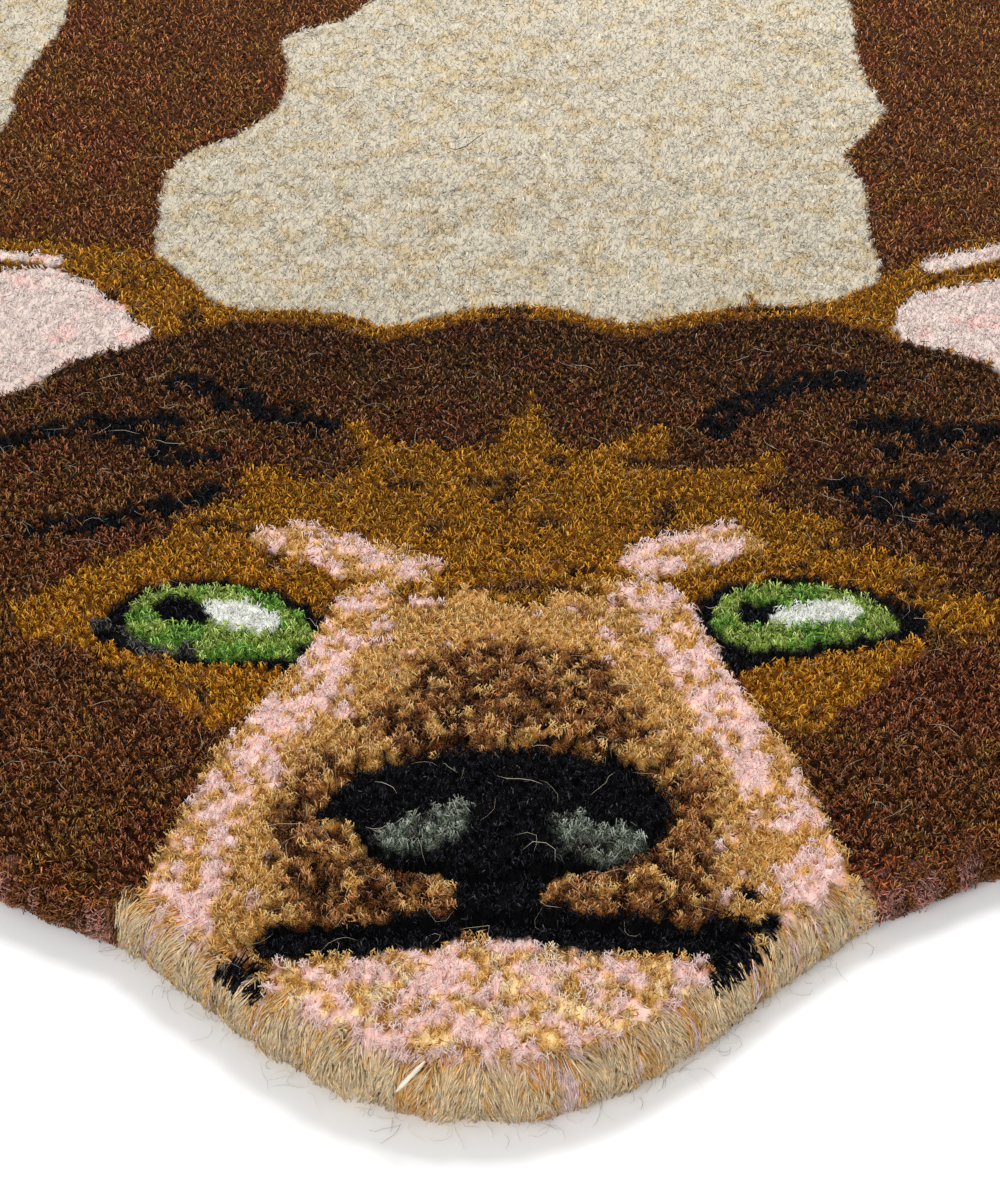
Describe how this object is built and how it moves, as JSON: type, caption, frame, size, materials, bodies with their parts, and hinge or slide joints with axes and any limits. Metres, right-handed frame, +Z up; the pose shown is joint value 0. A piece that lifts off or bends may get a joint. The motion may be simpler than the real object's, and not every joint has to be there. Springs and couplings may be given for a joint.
{
  "type": "animal shaped kids rug",
  "caption": "Flat tufted wool rug for a child's room, cut as an animal lying flat, with head, round ears, legs and tail, and lines clipped into its short pile.",
  "frame": {"origin": "centre of the bounding box at the underside, on the floor", "axes": "+Z up, -Y towards the muzzle, +Y towards the tail, +X towards the legs on one side"},
  "size_m": [0.95, 1.5, 0.02],
  "materials": {
    "wool_pile": "matt cut wool pile, brown with cream patches"
  },
  "bodies": {
    "root": {"rug": "wool_pile"}
  },
  "joints": []
}
